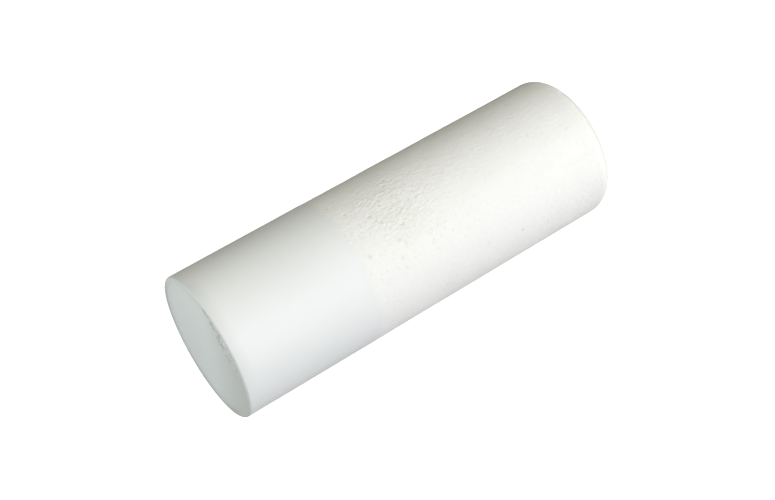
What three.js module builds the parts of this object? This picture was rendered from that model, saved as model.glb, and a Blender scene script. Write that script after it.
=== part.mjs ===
// A solid foam roller lying on its side. Millimetres, +Z up, the roller's axis along X.
// The near end is at -X, the far end at +X, and the origin is under the middle of the length,
// on the surface that the roller rests on.

import * as THREE from 'three';

// Driving dimensions.
const ROLLER_DIAMETER = 154;
const ROLLER_LENGTH = 450;
const NEAR_RIM_RADIUS = 2.5;
const FAR_RIM_RADIUS = 18;
const SLEEVE_LENGTH = 151;
const FILM_THICKNESS = 0.8;
const FLANGE_WIDTH = 4;
const CORE_DIAMETER = 50;
const GAP = 0.3;
const FACETS = 72;
const RIM_STEPS = 5;

const rollerRadius = ROLLER_DIAMETER / 2;
const coreRadius = CORE_DIAMETER / 2;
const boreRadius = coreRadius + GAP;
const underFilm = FILM_THICKNESS + GAP;
const halfFacet = Math.PI / FACETS;
const axisHeight = rollerRadius * Math.cos(halfFacet);

// Profile points are (radius, distance from the near end). A rim is a quarter circle about a
// centre, walked from one angle to another, where 0 points away from the axis and PI / 2 to the
// far end.
function rimArc(centreRadius, centreAlong, radius, fromAngle, toAngle) {
  const points = [];
  for (let step = 0; step <= RIM_STEPS; step += 1) {
    const angle = fromAngle + (toAngle - fromAngle) * (step / RIM_STEPS);
    points.push(new THREE.Vector2(
      centreRadius + radius * Math.cos(angle),
      centreAlong + radius * Math.sin(angle),
    ));
  }
  return points;
}

const point = (radius, along) => new THREE.Vector2(radius, along);

// Turns a profile about the roller's axis. The half-facet start puts a flat facet underneath, so
// the roller rests on a flat strip.
function turned(name, profile, material) {
  const geometry = new THREE.LatheGeometry(profile, FACETS, halfFacet);
  geometry.rotateZ(-Math.PI / 2);
  const mesh = new THREE.Mesh(geometry, material);
  mesh.name = name;
  mesh.position.x = -ROLLER_LENGTH / 2;
  return mesh;
}

const coreFoam = new THREE.MeshStandardMaterial({ color: 0xeeeee8, roughness: 0.9, metalness: 0 });
const bodyFoam = new THREE.MeshStandardMaterial({ color: 0xf3f2ea, roughness: 0.85, metalness: 0 });
const sleeveFilm = new THREE.MeshStandardMaterial({ color: 0xeaeeee, roughness: 0.5, metalness: 0 });
const discFilm = new THREE.MeshStandardMaterial({ color: 0xe4e9e8, roughness: 0.55, metalness: 0 });

// The rod in the middle of the log, from behind the end disc to the far face.
function makeCoreRod() {
  return turned('core_rod', [
    point(0, underFilm),
    point(coreRadius, underFilm),
    point(coreRadius, ROLLER_LENGTH),
    point(0, ROLLER_LENGTH),
  ], coreFoam);
}

// The thick foam tube round the rod. It is turned down by the film's thickness where the sleeve
// covers it, so the two finish flush, and its far rim is a large soft round.
function makeFoamBody() {
  const coveredRadius = rollerRadius - underFilm;
  const coveredRim = NEAR_RIM_RADIUS - underFilm;
  const shoulder = SLEEVE_LENGTH + GAP;
  const farCentre = ROLLER_LENGTH - FAR_RIM_RADIUS;
  return turned('foam_body', [
    point(boreRadius, underFilm),
    ...rimArc(coveredRadius - coveredRim, underFilm + coveredRim, coveredRim, -Math.PI / 2, 0),
    point(coveredRadius, shoulder),
    point(rollerRadius, shoulder),
    ...rimArc(rollerRadius - FAR_RIM_RADIUS, farCentre, FAR_RIM_RADIUS, 0, Math.PI / 2),
    point(boreRadius, ROLLER_LENGTH),
    point(boreRadius, underFilm),
  ], bodyFoam);
}

// The smooth film sleeve. It covers the near part of the log, goes round the near rim and turns
// in over the end face as a narrow flange.
function makeSmoothSleeve() {
  const rimCentre = rollerRadius - NEAR_RIM_RADIUS;
  const flangeRadius = rimCentre - FLANGE_WIDTH;
  const insideRim = NEAR_RIM_RADIUS - FILM_THICKNESS;
  return turned('smooth_sleeve', [
    point(flangeRadius, 0),
    ...rimArc(rimCentre, NEAR_RIM_RADIUS, NEAR_RIM_RADIUS, -Math.PI / 2, 0),
    point(rollerRadius, SLEEVE_LENGTH),
    point(rollerRadius - FILM_THICKNESS, SLEEVE_LENGTH),
    ...rimArc(rimCentre, NEAR_RIM_RADIUS, insideRim, 0, -Math.PI / 2),
    point(flangeRadius, FILM_THICKNESS),
    point(flangeRadius, 0),
  ], sleeveFilm);
}

// The flat film disc that closes the near end inside the sleeve's flange.
function makeNearEndDisc() {
  const discRadius = rollerRadius - NEAR_RIM_RADIUS - FLANGE_WIDTH - GAP;
  return turned('near_end_disc', [
    point(0, 0),
    point(discRadius, 0),
    point(discRadius, FILM_THICKNESS),
    point(0, FILM_THICKNESS),
  ], discFilm);
}

const roller = new THREE.Group();
roller.position.z = axisHeight;
roller.add(makeCoreRod(), makeFoamBody(), makeSmoothSleeve(), makeNearEndDisc());

export default roller;
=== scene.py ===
# A white foam roller lying on a pale floor. It is built as a thick tube of foam on a rod, with a
# smooth film sleeve over its near third and a film disc over its near end. The rod and the film
# are assumed. Lengths are in metres, and angles round the log are in degrees from +Y towards +Z.

import math
import random

import bmesh
import bpy
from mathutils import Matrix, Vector, kdtree, noise


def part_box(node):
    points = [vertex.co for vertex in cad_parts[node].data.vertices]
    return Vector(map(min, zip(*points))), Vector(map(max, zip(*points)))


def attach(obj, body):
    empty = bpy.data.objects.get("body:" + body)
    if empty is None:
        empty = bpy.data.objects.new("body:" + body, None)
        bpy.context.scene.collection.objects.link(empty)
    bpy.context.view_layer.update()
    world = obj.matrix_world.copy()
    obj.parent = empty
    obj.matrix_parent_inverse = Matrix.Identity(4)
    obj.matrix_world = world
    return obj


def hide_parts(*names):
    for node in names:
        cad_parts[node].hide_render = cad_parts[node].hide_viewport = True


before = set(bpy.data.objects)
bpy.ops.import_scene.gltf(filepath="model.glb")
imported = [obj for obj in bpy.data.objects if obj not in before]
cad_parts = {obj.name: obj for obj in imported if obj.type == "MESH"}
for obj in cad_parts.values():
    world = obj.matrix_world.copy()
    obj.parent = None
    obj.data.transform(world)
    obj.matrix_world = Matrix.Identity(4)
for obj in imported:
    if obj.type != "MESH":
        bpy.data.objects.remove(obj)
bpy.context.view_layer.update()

# what the frame says about the log
foamLow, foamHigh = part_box("foam_body")
sleeveLow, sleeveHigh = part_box("smooth_sleeve")
rodLow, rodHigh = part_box("core_rod")
nearX = sleeveLow.x
ringX = sleeveHigh.x
farX = foamHigh.x
axisZ = (foamLow.z + foamHigh.z) / 2
outerRadius = (foamHigh.y - foamLow.y) / 2
rodRadius = (rodHigh.y - rodLow.y) / 2
middle = Vector(((nearX + farX) / 2, 0, axisZ))


# a profile is drawn above the axis, then turned about it

def startProfile(x, radius):
    shape = bmesh.new()
    return shape, bmesh.ops.create_vert(shape, co=(x, 0, axisZ + radius))["vert"][0]


def lineTo(shape, tip, x, radius, step=None):
    start, goal = tip.co.copy(), Vector((x, 0, axisZ + radius))
    parts = max(round((goal - start).length / step), 1) if step else 1
    for part in range(1, parts + 1):
        tip = bmesh.ops.extrude_vert_indiv(shape, verts=[tip])["verts"][0]
        tip.co = start.lerp(goal, part / parts)
    return tip


def arcTo(shape, tip, x, radius, degrees, steps):
    grown = bmesh.ops.spin(
        shape, geom=[tip], cent=(x, 0, axisZ + radius), axis=(0, 1, 0),
        angle=math.radians(degrees), steps=steps)
    return next(part for part in grown["geom_last"] if isinstance(part, bmesh.types.BMVert))


def turnProfile(shape, steps):
    bmesh.ops.spin(
        shape, geom=shape.verts[:] + shape.edges[:], cent=(0, 0, axisZ), axis=(1, 0, 0),
        angle=math.tau, steps=steps, use_merge=True)
    bmesh.ops.remove_doubles(shape, verts=shape.verts, dist=0.00001)
    bmesh.ops.recalc_face_normals(shape, faces=shape.faces)
    shape.normal_update()


def polar(place):
    turn = math.degrees(math.atan2(place.z - axisZ, place.y))
    return math.hypot(place.y, place.z - axisZ), turn


def onLog(x, radius, degrees):
    turn = math.radians(degrees)
    return Vector((x, radius * math.cos(turn), axisZ + radius * math.sin(turn)))


def smoothStep(value, low, high):
    share = min(max((value - low) / (high - low), 0), 1)
    return share * share * (3 - 2 * share)


sharpDegrees = 50


def finishPiece(name, shape, material, node):
    mesh = bpy.data.meshes.new(name)
    for face in shape.faces:
        face.smooth = True
    shape.to_mesh(mesh)
    shape.free()
    mesh.set_sharp_from_angle(angle=math.radians(sharpDegrees))
    mesh.materials.append(material)
    piece = bpy.data.objects.new(name, mesh)
    bpy.context.scene.collection.objects.link(piece)
    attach(piece, "root")
    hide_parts(node)
    print(name, len(mesh.polygons), "faces")
    return piece


# a Wire is a node's socket, and signs between wires add Math nodes

class Wire:
    def __init__(self, tree, socket):
        self.tree = tree
        self.socket = socket

    def node(self, kind, settings, inputs, output=0):
        made = self.tree.nodes.new(kind)
        for name, value in settings.items():
            setattr(made, name, value)
        for name, value in inputs.items():
            socket = pickSocket(made.inputs, name)
            if isinstance(value, Wire):
                self.tree.links.new(value.socket, socket)
            else:
                socket.default_value = value
        return Wire(self.tree, pickSocket(made.outputs, output))

    def maths(self, operation, first, second=0.0):
        return self.node("ShaderNodeMath", {"operation": operation}, {0: first, 1: second})

    def __add__(self, other):
        return self.maths("ADD", self, other)

    def __sub__(self, other):
        return self.maths("SUBTRACT", self, other)

    def __rsub__(self, other):
        return self.maths("SUBTRACT", other, self)

    def __mul__(self, other):
        return self.maths("MULTIPLY", self, other)

    __radd__ = __add__

    def above(self, low, high):
        return self.node(
            "ShaderNodeMapRange", {"interpolation_type": "SMOOTHSTEP"},
            {"Value": self, "From Min": low, "From Max": high})

    def tint(self, plain, stained):
        return self.node(
            "ShaderNodeMix", {"data_type": "RGBA"}, {"Factor": self, "A": plain, "B": stained},
            "Result")

    def stretched(self, scale):
        return self.node("ShaderNodeMapping", {}, {"Vector": self, "Scale": scale})

    def cloud(self, scale, detail):
        return self.node(
            "ShaderNodeTexNoise", {}, {"Vector": self, "Scale": scale, "Detail": detail})

    def cells(self, scale, output="Distance"):
        return self.node("ShaderNodeTexVoronoi", {}, {"Vector": self, "Scale": scale}, output)


def pickSocket(sockets, name):
    if isinstance(name, int):
        return sockets[name]
    return next(socket for socket in sockets if socket.enabled and socket.name == name)


def startMaterial(name):
    material = bpy.data.materials.new(name)
    material.use_nodes = True
    tree = material.node_tree
    start = tree.nodes.new("ShaderNodeTexCoord")
    return material, Wire(tree, start.outputs["Object"])


def attribute(wire, name):
    return wire.node("ShaderNodeAttribute", {"attribute_name": name}, {}, "Fac")


def fillShader(wire, fixed, wired):
    shader = wire.tree.nodes["Principled BSDF"]
    for name, value in fixed.items():
        shader.inputs[name].default_value = value
    for name, value in wired.items():
        wire.tree.links.new(value.socket, shader.inputs[name])


def bumped(wire, height, distance, normal=None):
    inputs = {"Height": height, "Distance": distance, "Strength": 1.0}
    if normal:
        inputs["Normal"] = normal
    return wire.node("ShaderNodeBump", {}, inputs)


# the bare foam
foam = {
    "around": 336,
    "step": 0.0014,
    "bareRadius": outerRadius - 0.00015,
    "coveredRadius": outerRadius - 0.0006,
    "boreRadius": rodRadius + 0.0003,
    "farRim": 0.018,
    "nearFace": nearX + 0.0026,
    "underSleeve": 0.0022,
    "lump": 0.00022,
    "streak": 0.00006,
    "peel": (0.00006, 0.00017),
    "craters": 60,
    "scratches": 8,
    "pinholes": 560,
    "lonePit": (nearX + 0.376, 102),
    "smudge": (nearX + 0.413, 106),
    "nick": (farX - 0.006, 84),
}

# how far each kind of pit tapers in, how deep it is and how dark; the darkness is partly the foam's
# own specks and partly painted shade in the pit hollows
pitSizes = {
    "craters": (0.00045, 0.00036, 1.0),
    "scratches": (0.00040, 0.00010, 0.25),
    "pinholes": (0.00030, 0.00022, 0.8),
}


def makeFoamMaterial():
    material, place = startMaterial("bareFoam")
    specksAndShade = attribute(place, "specksAndShade")
    stain = attribute(place, "stain")

    # fine pinpricks and a crinkled skin, strong where the foam is stained and faint elsewhere
    patches = place.cloud(26, 3).above(0.42, 0.66)
    shade = place.cells(210, "Color")
    cell = place.node("ShaderNodeSeparateColor", {}, {"Color": shade}, "Red")
    pricks = (1 - place.cells(210).above(0.05, 0.24)) * cell.above(0.55, 1.0)
    pricks = pricks * (stain + patches * 0.2)

    drift = place.cloud(9, 3)
    streaks = place.stretched((9, 150, 150)).cloud(1, 2).above(0.5, 0.8)
    colour = drift.above(0.3, 0.75).tint((0.901, 0.901, 0.896, 1), (0.883, 0.883, 0.871, 1))
    colour = (stain * 0.6).tint(colour, (0.880, 0.886, 0.815, 1))
    along = place.node("ShaderNodeSeparateXYZ", {}, {"Vector": place}, "X")
    colour = along.above(ringX - 0.002, ringX + 0.009).tint((0.870, 0.880, 0.876, 1), colour)
    # painted shade: the far rim and end face are greyed, so the far outline reads darker
    farRimShade = along.above(farX - 0.0112, farX - 0.0070)
    colour = (farRimShade * 0.85).tint(colour, (0.785, 0.782, 0.775, 1))
    colour = (streaks * 0.06).tint(colour, (0.72, 0.71, 0.64, 1))
    colour = (pricks * 0.3).tint(colour, (0.45, 0.44, 0.36, 1))
    # the pits are darkened: partly the foam's own specks, partly painted shade in their hollows
    colour = (specksAndShade * 0.22).tint(colour, (0.36, 0.35, 0.29, 1))

    crinkle = place.stretched((210, 330, 330)).cloud(1, 3) * (0.5 + stain * 1.3)
    grain = place.cells(1100) * 0.25 + place.cloud(700, 2) * 0.5
    normal = bumped(place, crinkle, 0.0013)
    normal = bumped(place, grain, 0.00022, normal)
    roughness = 0.80 + drift * 0.12 - streaks * 0.06
    fillShader(place, {"IOR": 1.4, "Specular IOR Level": 0.35}, {
        "Base Color": colour, "Roughness": roughness, "Normal": normal})
    return material


def foamCrowding(x, degrees):
    # pits crowd beside the ring on the upper side, thin out towards the far end
    fade = 1 - smoothStep(x - ringX, 0.04, 0.2)
    crowd = math.exp(-((degrees - 102) / 30) ** 2) * math.exp(-((x - ringX - 0.06) / 0.05) ** 2)
    patch = smoothStep(noise.noise(onLog(x, outerRadius, degrees) * 18), -0.25, 0.5)
    return 0.01 + 0.26 * fade * patch + 0.03 * patch + 0.7 * crowd


def scatter(dice, count, low, high):
    places = []
    while len(places) < count:
        x, degrees = dice.uniform(low, high), dice.uniform(-180, 180)
        if dice.random() < foamCrowding(x, degrees):
            places.append((x, degrees))
    return places


# the sunk pit faces get a dark tone: partly the foam's own specks, partly painted shade
def sinkFaces(shape, faces, specksAndShade, width, depth, tone):
    for face in faces:
        for vert in face.verts:
            vert[specksAndShade] = max(vert[specksAndShade], 0.25 * tone)
    bmesh.ops.inset_region(
        shape, faces=faces, thickness=width, depth=-depth, use_boundary=True, use_even_offset=True)
    for face in faces:
        for vert in face.verts:
            vert[specksAndShade] = max(vert[specksAndShade], tone)


def chooseFaces(shape, dice):
    # the faces that each pit takes, with a ring of whole faces left between pits
    low, high = ringX + 0.003, farX - foam["farRim"] * 0.5
    shape.faces.ensure_lookup_table()
    tree = kdtree.KDTree(len(shape.faces))
    for face in shape.faces:
        tree.insert(face.calc_center_median(), face.index)
    tree.balance()
    taken = set()
    chosen = {"craters": [], "scratches": [], "pinholes": []}

    def faceAt(x, degrees):
        return shape.faces[tree.find(onLog(x, foam["bareRadius"], degrees))[1]]

    def take(kind, faces):
        near = {beside for face in faces for vert in face.verts for beside in vert.link_faces}
        if not taken & near:
            taken.update(faces)
            chosen[kind].append(faces)

    for x, degrees in [foam["lonePit"]] + scatter(dice, foam["craters"], low, high):
        corner = dice.choice(faceAt(x, degrees).verts[:])
        take("craters", corner.link_faces[:dice.choice((2, 4))])
    for x, degrees in scatter(dice, foam["scratches"], low, high - 0.02):
        places = [x + foam["step"] * index for index in range(dice.randint(4, 10))]
        take("scratches", list(dict.fromkeys(faceAt(place, degrees) for place in places)))
    for x, degrees in scatter(dice, foam["pinholes"], low, high):
        take("pinholes", [faceAt(x, degrees)])
    print("pits", {kind: len(found) for kind, found in chosen.items()})
    return chosen


def pitFoam(shape, specksAndShade):
    dice = random.Random(31)
    for kind, pits in chooseFaces(shape, dice).items():
        width, depth, tone = pitSizes[kind]
        for turn, share in enumerate((1.0, 0.65, 0.45, 0.3)):
            part = [face for pit in pits[turn::4] for face in pit]
            sinkFaces(shape, part, specksAndShade, width * (0.5 + share / 2), depth * share, tone * share)


def liftFoam(shape, stain):
    smudge = onLog(foam["smudge"][0], foam["bareRadius"], foam["smudge"][1])
    nick = onLog(foam["nick"][0], foam["bareRadius"] - 0.002, foam["nick"][1])
    calm, rough = foam["peel"]
    for vert in shape.verts:
        radius, degrees = polar(vert.co)
        place = vert.co
        if place.x < ringX - foam["underSleeve"] * 0.9 or radius < foam["boreRadius"] + 0.0005:
            continue
        crowd = math.exp(-((degrees - 106) / 26) ** 2)
        crowd *= math.exp(-((place.x - ringX - 0.060) / 0.042) ** 2)
        nearRing = math.exp(-((place.x - ringX - 0.006) / 0.014) ** 2)
        lump = noise.noise(place * 24) + 0.5 * noise.noise(place * 60)
        streak = noise.noise(Vector((place.x * 10, place.y * 110, place.z * 110)))
        peel = noise.noise(place * 190) + 0.5 * noise.noise(place * 330)
        lift = foam["lump"] * lump + foam["streak"] * streak
        quiet = 1 - 0.45 * smoothStep(place.x - ringX, 0.09, 0.2)
        lift += (calm * quiet + rough * max(crowd, 0.7 * nearRing)) * peel
        lift *= smoothStep(place.x, ringX - 0.001, ringX + 0.003)
        lift -= 0.0007 * math.exp(-((place - smudge).length / 0.006) ** 2)
        lift -= 0.0014 * math.exp(-((place - nick).length / 0.0050) ** 2)
        vert[stain] = crowd * min(max(0.8 + 0.9 * noise.noise(place * 45), 0), 1)
        vert.co = place + vert.normal * lift
        vert.co.z = max(vert.co.z, 0.0003)


def makeFoamBody():
    f = foam
    startX = ringX - f["underSleeve"]
    shape, tip = startProfile(startX, f["coveredRadius"])
    start = tip
    tip = lineTo(shape, tip, startX + 0.0004, f["bareRadius"])
    tip = lineTo(shape, tip, farX - f["farRim"], f["bareRadius"], f["step"])
    tip = arcTo(shape, tip, farX - f["farRim"], f["bareRadius"] - f["farRim"], 90, 20)
    tip = lineTo(shape, tip, farX, f["boreRadius"] + 0.0006, 0.0016)
    tip = lineTo(shape, tip, farX - 0.0006, f["boreRadius"])
    tip = lineTo(shape, tip, f["nearFace"], f["boreRadius"])
    tip = lineTo(shape, tip, f["nearFace"], f["coveredRadius"] - 0.004)
    tip = arcTo(shape, tip, f["nearFace"] + 0.004, f["coveredRadius"] - 0.004, 90, 4)
    shape.edges.new((tip, start))
    turnProfile(shape, f["around"])
    specksAndShade = shape.verts.layers.float.new("specksAndShade")
    stain = shape.verts.layers.float.new("stain")
    liftFoam(shape, stain)
    pitFoam(shape, specksAndShade)
    piece = finishPiece("foamBody", shape, makeFoamMaterial(), "foam_body")


# the assumed rod in the middle, which would be seen only at the far face
rod = {"around": 120, "step": 0.0016, "recess": 0.0003}


def makeRodMaterial():
    material, place = startMaterial("coreFoam")
    cut = place.cells(620)
    drift = place.cloud(60, 3)
    colour = drift.above(0.35, 0.7).tint((0.87, 0.862, 0.82, 1), (0.82, 0.815, 0.765, 1))
    colour = ((1 - cut.above(0.05, 0.35)) * 0.35).tint(colour, (0.55, 0.54, 0.47, 1))
    normal = bumped(place, cut + place.cloud(500, 2) * 0.6, 0.0003)
    fillShader(place, {"IOR": 1.4, "Specular IOR Level": 0.3}, {
        "Base Color": colour, "Roughness": 0.84 + drift * 0.1, "Normal": normal})
    return material


def makeCoreRod():
    shape, tip = startProfile(foam["nearFace"], 0)
    tip = lineTo(shape, tip, foam["nearFace"], rodRadius)
    tip = lineTo(shape, tip, farX - rod["recess"] - 0.0006, rodRadius)
    tip = lineTo(shape, tip, farX - rod["recess"], rodRadius - 0.0006)
    lineTo(shape, tip, farX - rod["recess"], 0, rod["step"])
    turnProfile(shape, rod["around"])
    for vert in shape.verts:
        if vert.co.x > farX - 0.002:
            vert.co.x += 0.00025 * noise.noise(vert.co * 70) + 0.00008 * noise.noise(vert.co * 320)
    piece = finishPiece("coreRod", shape, makeRodMaterial(), "core_rod")


# the film: the sleeve and the disc share one sheet's numbers
film = {
    "thickness": 0.0003,
    "around": 336,
    "discAround": 240,
    "step": 0.0014,
    "rimStep": 0.0009,
    "discStep": 0.0012,
    "rim": 0.0027,
    "proud": 0.00005,
    "flange": 0.0702,
    "discEdge": 0.0718,
    "discBack": nearX + 0.00033,
    "seamAt": -38,
}

# where the film is drawn in beside the near rim, on the upper side
pucker = {
    "from": 92,
    "to": 155,
    "reach": 0.018,
    "rimStart": 0.0738,
    "sink": 0.0011,
    "furrow": 0.0008,
    "pits": 80,
    "pitDepth": 0.0012,
    "bigPits": ((0.0640, 97), (0.0690, 95), (0.0720, 101), (0.0684, 110), (0.0622, 112),
                (0.0586, 130), (0.0640, 134), (0.0565, 139), (0.0690, 140), (0.0580, 143),
                (0.0700, 147)),
    "ringAt": (0.0605, 123.5),
    "ringSize": (0.0068, 0.0044),
}


def puckerReach(share):
    return pucker["reach"] * math.sin(math.pi * share ** 1.5) ** 0.6


def makePuckerPits():
    dice = random.Random(12)
    pits = [(radius, degrees, 0.0022, 1) for radius, degrees in pucker["bigPits"]]
    for _ in range(pucker["pits"]):
        share = dice.uniform(0.05, 0.95)
        degrees = pucker["from"] + share * (pucker["to"] - pucker["from"])
        radius = pucker["rimStart"] - puckerReach(share) * dice.uniform(0.04, 1.02)
        pits.append((radius, degrees, dice.uniform(0.0008, 0.0019), dice.uniform(0.2, 1)))
    return pits


puckerPits = makePuckerPits()


def ringPucker(place):
    # one small crater with a raised lip round it
    centre = onLog(place.x, *pucker["ringAt"])
    outwards = Vector((0, centre.y, centre.z - axisZ)).normalized()
    sideways = Vector((0, -outwards.z, outwards.y))
    offset = place - centre
    long, wide = pucker["ringSize"]
    gap = math.hypot(offset.dot(outwards) / long, offset.dot(sideways) / wide)
    return math.exp(-((gap - 1) / 0.3) ** 2) - 0.5 * math.exp(-(gap / 0.55) ** 2)


def puckerAt(place):
    # returns how deep the film is drawn in, and how dark that spot is painted; the darkness is
    # painted shade in the sunk creases, furrow, crater and pits
    radius, degrees = polar(place)
    share = (degrees - pucker["from"]) / (pucker["to"] - pucker["from"])
    if not 0 < share < 1:
        return 0, 0
    crease = pucker["rimStart"] - puckerReach(share) + 0.0016 * noise.noise(place * 150)
    inside = smoothStep(radius, crease - 0.0006, crease + 0.0016)
    outside = 1 - smoothStep(radius, pucker["rimStart"], pucker["rimStart"] + 0.0024)
    rumple = noise.noise(place * 130) + 0.6 * noise.noise(place * 290)
    sink = pucker["sink"] * inside * outside * (1 + 1.1 * rumple)
    # painted shade: the sunk film is darkened
    dark = inside * outside * min(max(0.16 + 0.4 * rumple, 0), 0.6)
    edge = math.exp(-((radius - crease - 0.0004) / 0.0014) ** 2) * outside
    dark += 0.5 * edge * min(max(0.7 + 1.3 * noise.noise(place * 90), 0), 1)
    furrow = math.exp(-((radius - 0.0712 - 0.0010 * noise.noise(place * 90)) / 0.0022) ** 2)
    furrow *= smoothStep(share, 0.1, 0.35) * (1 - smoothStep(share, 0.88, 0.99))
    furrow *= 0.8 + 0.7 * noise.noise(place * 75)
    furrow = max(furrow, 0)
    ring = ringPucker(place)
    sink += pucker["furrow"] * furrow + 0.0008 * ring
    dark += 0.42 * furrow + 0.55 * max(ring, 0)
    for pitRadius, pitDegrees, size, depth in puckerPits:
        gap = (place - onLog(place.x, pitRadius, pitDegrees)).length
        if gap < size * 3:
            fall = math.exp(-(gap / size) ** 2)
            sink += pucker["pitDepth"] * depth * fall
            dark += 0.8 * depth * fall
    return sink, min(dark, 1)


def refine(shape, cuts):
    low, high = pucker["rimStart"] - pucker["reach"] - 0.003, pucker["rimStart"] + 0.0015
    edges = set()
    for face in shape.faces:
        centre = face.calc_center_median()
        radius, degrees = polar(centre)
        if low < radius < high and pucker["from"] - 2 < degrees < pucker["to"] + 2:
            if centre.x < nearX + 0.0012 and abs(face.normal.x) > 0.7:
                edges.update(face.edges)
    bmesh.ops.subdivide_edges(shape, edges=list(edges), cuts=cuts, use_grid_fill=True)


def makeFilmMaterial(name):
    material, place = startMaterial(name)
    specksAndShade = attribute(place, "specksAndShade")
    drift = place.cloud(14, 3)
    soft = place.cloud(120, 2)
    taut = place.stretched((7, 120, 120)).cloud(1, 2)
    along = place.node("ShaderNodeSeparateXYZ", {}, {"Vector": place}, "X")
    across = place.node("ShaderNodeSeparateXYZ", {}, {"Vector": place}, "Y")

    # the film over the end is greener than the film round the side, and painted shade darkens it
    # towards the front
    side = drift.above(0.3, 0.72).tint((0.853, 0.872, 0.878, 1), (0.835, 0.854, 0.860, 1))
    end = drift.above(0.3, 0.72).tint((0.83, 0.88, 0.868, 1), (0.81, 0.862, 0.85, 1))
    frontShade = 1 - across.above(-0.07, 0.006)
    end = (frontShade * 0.5).tint(end, (0.42, 0.43, 0.40, 1))
    onSide = along.above(nearX + 0.0006, nearX + 0.0034)
    colour = onSide.tint(end, side)
    # painted shade: the rim's back and underside and the sunk puckers are darkened
    colour = (specksAndShade * 0.7).tint(colour, (0.34, 0.36, 0.34, 1))

    normal = bumped(place, soft + taut * 0.6, 0.00012)
    roughness = 0.40 + drift * 0.14 + specksAndShade * 0.2
    fillShader(place, {"IOR": 1.5, "Specular IOR Level": 0.45}, {
        "Base Color": colour, "Roughness": roughness, "Normal": normal})
    return material


def seamLift(degrees, x):
    # the film's two ends are assumed to overlap in one welded strip along the hidden side
    across = (degrees - film["seamAt"] - 0.5 * noise.noise(Vector((x * 14, 0, 0)))) / 2.6
    return 0.00028 * (1 - smoothStep(abs(across), 0.82, 1.12))


def rimPaintedShade(place, radius):
    # painted shade: the film is darkened towards the near rim, most of all along its back and
    # underside, and in a band along the upper outer rim
    under = smoothStep(place.y * 0.5 - (place.z - axisZ) * 0.87, -0.02, 0.04)
    grey = 0.18 * smoothStep(radius, 0.058, 0.067) + 0.60 * smoothStep(radius, 0.0675, 0.0740)
    grey *= (0.35 + 0.65 * under) * (1 - smoothStep(place.x, nearX + 0.0012, nearX + 0.0034))
    grey *= 1 - 0.6 * smoothStep(-place.y, 0.045, 0.065)
    upper = smoothStep(place.z - axisZ, 0, 0.05) * (1 - smoothStep(place.y, 0.018, 0.036))
    upper *= smoothStep(radius, 0.0745, 0.0760)
    return max(grey, 0.24 * upper * (1 - smoothStep(place.x, nearX + 0.001, nearX + 0.017)))


def liftSleeve(shape, specksAndShade):
    for vert in shape.verts:
        place = vert.co.copy()
        radius, degrees = polar(place)
        outer = radius > outerRadius - 0.00015 or place.x < nearX + 0.0001
        onSide = smoothStep(place.x, nearX + 0.004, nearX + 0.012)
        lump = 0.00012 * noise.noise(place * 20) + 0.00004 * noise.noise(place * 110)
        lift = lump * onSide
        nearRing = smoothStep(place.x, ringX - 0.010, ringX - 0.003)
        lift *= 1 - nearRing
        lift += 0.00008 * nearRing * (1 + noise.noise(place * 120))
        if outer:
            lift += seamLift(degrees, place.x) * onSide
        folds = noise.noise(Vector((place.x * 30, math.sin(math.radians(degrees)) * 26,
                                    math.cos(math.radians(degrees)) * 26)))
        atRim = 1 - smoothStep(place.x, nearX + 0.003, nearX + 0.016)
        lift += 0.00009 * folds * atRim
        if radius > outerRadius - 0.001:
            away = Vector((0, place.y, place.z - axisZ)).normalized()
        else:
            away = Vector((-1, 0, 0))
        vert.co = place + away * lift
        ragged = noise.noise(Vector((0, place.y * 45, place.z * 45)))
        ragged += 0.7 * noise.noise(Vector((9, place.y * 170, place.z * 170)))
        vert.co.x += 0.0012 * ragged * smoothStep(place.x, ringX - 0.005, ringX)
        # painted shade towards the near rim and in the puckers goes into the attribute
        vert[specksAndShade] = rimPaintedShade(place, radius)
        if place.x < nearX + 0.004:
            sink, dark = puckerAt(place)
            vert.co.x += sink * (1 - smoothStep(place.x, nearX + 0.0008, nearX + 0.003))
            vert[specksAndShade] = max(dark, vert[specksAndShade])
        vert.co.z = max(vert.co.z, 0.0001)


def makeSleeve():
    f = film
    outside = outerRadius + f["proud"]
    inside = f["rim"] - f["thickness"]
    rimX, rimRadius = nearX + f["rim"], outside - f["rim"]
    shape, tip = startProfile(nearX, f["flange"])
    start = tip
    tip = lineTo(shape, tip, nearX, rimRadius, f["rimStep"])
    tip = arcTo(shape, tip, rimX, rimRadius, 90, 9)
    tip = lineTo(shape, tip, ringX, outside, f["step"])
    tip = lineTo(shape, tip, ringX, outside - f["thickness"])
    tip = lineTo(shape, tip, rimX, outside - f["thickness"], 0.004)
    tip = arcTo(shape, tip, rimX, rimRadius, -90, 9)
    tip = lineTo(shape, tip, nearX + f["thickness"], f["flange"], f["rimStep"])
    shape.edges.new((tip, start))
    turnProfile(shape, f["around"])
    refine(shape, 2)
    specksAndShade = shape.verts.layers.float.new("specksAndShade")
    liftSleeve(shape, specksAndShade)
    finishPiece(
        "smoothSleeve", shape, makeFilmMaterial("sleeveFilm"), "smooth_sleeve")


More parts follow.
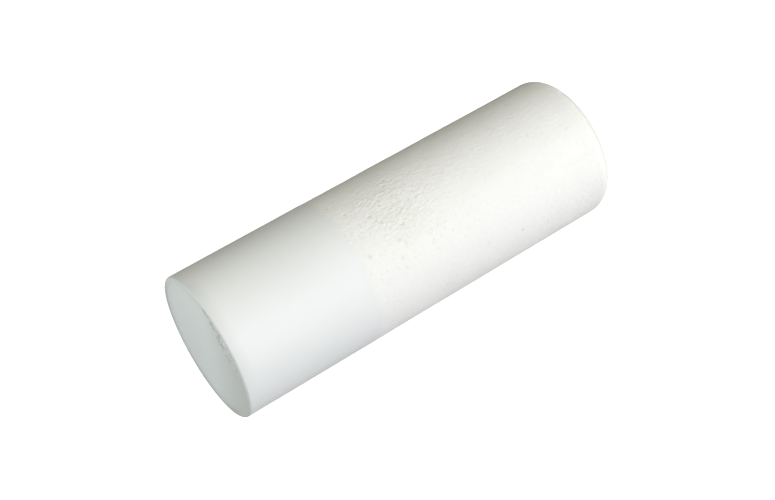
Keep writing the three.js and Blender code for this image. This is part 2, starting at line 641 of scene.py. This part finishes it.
def makeDisc():
    f = film
    shape, tip = startProfile(f["discBack"], 0)
    lineTo(shape, tip, f["discBack"], f["discEdge"], f["discStep"])
    turnProfile(shape, f["discAround"])
    for face in shape.faces:
        if face.normal.x > 0:
            face.normal_flip()
    refine(shape, 3)
    specksAndShade = shape.verts.layers.float.new("specksAndShade")
    for vert in shape.verts:
        place = vert.co.copy()
        radius, degrees = polar(place)
        sink, dark = puckerAt(place)
        # painted shade towards the near rim and in the puckers goes into the attribute
        vert[specksAndShade] = max(dark, rimPaintedShade(place, radius))
        vert.co.x += sink + 0.00018 * noise.noise(place * 26) + 0.00004 * noise.noise(place * 130)
        vert.co.x += 0.0004 * (1 - (radius / f["discEdge"]) ** 2)
    bmesh.ops.solidify(shape, geom=shape.faces[:], thickness=f["thickness"])
    finishPiece("nearEndDisc", shape, makeFilmMaterial("discFilm"), "near_end_disc")


# floor, light and camera
floor = {"size": 12, "glow": 0.8, "shade": 0.9, "bounceShade": 0.5, "bounceDrop": 0.001}


def makePlane(name, height, shade, glow):
    shape = bmesh.new()
    bmesh.ops.create_grid(shape, x_segments=1, y_segments=1, size=floor["size"])
    bmesh.ops.translate(shape, verts=shape.verts, vec=(0, 0, height))
    mesh = bpy.data.meshes.new(name)
    shape.to_mesh(mesh)
    shape.free()
    material, place = startMaterial(name)
    fillShader(place, {
        "Base Color": (shade, shade, shade, 1), "Roughness": 0.9, "Specular IOR Level": 0.1,
        "Emission Color": (1, 1, 1, 1), "Emission Strength": glow}, {})
    mesh.materials.append(material)
    plane = bpy.data.objects.new(name, mesh)
    bpy.context.scene.collection.objects.link(plane)
    return plane


def makeFloor():
    # the floor that is seen is nearly white, and a darker card just under it gives the bounce
    seen = makePlane("paleFloor", 0, floor["shade"], floor["glow"])
    seen.visible_diffuse = seen.visible_glossy = seen.visible_shadow = False
    card = makePlane("bounceCard", -floor["bounceDrop"], floor["bounceShade"], 0)
    card.visible_camera = False


skyStrength = 0.03

# where each softbox stands from the roller, how far off, how wide, its power in watts and colour
plain = (1, 1, 1)
lamps = {
    "frontRight": ((0.7, -0.55, 0.5), 2.0, 1.6, 16.0, (0.98, 0.98, 1)),
    "frontTop": ((0, -0.72, 0.7), 2.0, 1.6, 12.5, (0.965, 0.965, 1)),
    "topRight": ((0.7, -0.1, 0.75), 2.0, 1.6, 11.8, (1, 1, 0.79)),
    "lowRight": ((0.6, -1, 0.15), 2.0, 1.6, 10.0, plain),
    "leftSide": ((-1, -0.15, 0.35), 2.0, 1.6, 18.0, (0.955, 0.98, 1)),
    "leftTop": ((-0.8, 0.1, 0.9), 0.8, 0.6, 0.8, (1, 0.98, 0.85)),
    "backLeft": ((-0.7, 0.7, 0.5), 2.0, 1.6, 2.0, (1, 0.96, 0.74)),
    "backSide": ((0, 1, 0.45), 2.0, 1.6, 1.2, (1, 0.95, 0.70)),
}


def makeLights():
    world = bpy.data.worlds.new("studio")
    bpy.context.scene.world = world
    world.use_nodes = True
    background = world.node_tree.nodes["Background"].inputs
    background["Color"].default_value = (1, 1, 1, 1)
    background["Strength"].default_value = skyStrength
    for name, (direction, distance, width, watts, colour) in lamps.items():
        lamp = bpy.data.lights.new(name, "AREA")
        lamp.shape = "DISK"
        lamp.size = width
        lamp.energy = watts
        lamp.color = colour
        towards = Vector(direction).normalized()
        holder = bpy.data.objects.new(name, lamp)
        holder.location = middle + towards * distance
        holder.rotation_euler = towards.to_track_quat("Z", "Y").to_euler()
        bpy.context.scene.collection.objects.link(holder)


view = {
    "azimuth": -35.8,
    "elevation": 52.7,
    "lens": 67.35,
    "distance": 1.4657,
    "asideX": 0.0086,
    "asideY": 0.0106,
}


def makeCamera():
    turn, tilt = math.radians(view["azimuth"]), math.radians(view["elevation"])
    back = Vector((math.sin(turn) * math.cos(tilt), -math.cos(turn) * math.cos(tilt), math.sin(tilt)))
    right = Vector((math.cos(turn), math.sin(turn), 0))
    up = back.cross(right)
    lens = bpy.data.cameras.new("camera")
    lens.lens = view["lens"]
    lens.sensor_width = 36
    camera = bpy.data.objects.new("camera", lens)
    camera.location = middle + back * view["distance"] - right * view["asideX"] - up * view["asideY"]
    camera.rotation_euler = back.to_track_quat("Z", "Y").to_euler()
    bpy.context.scene.collection.objects.link(camera)
    bpy.context.scene.camera = camera


makeCamera()
makeLights()
makeFloor()
print("camera, lights and floor are in place")
makeFoamBody()
makeCoreRod()
makeSleeve()
makeDisc()
bpy.context.scene.view_settings.view_transform = "Standard"
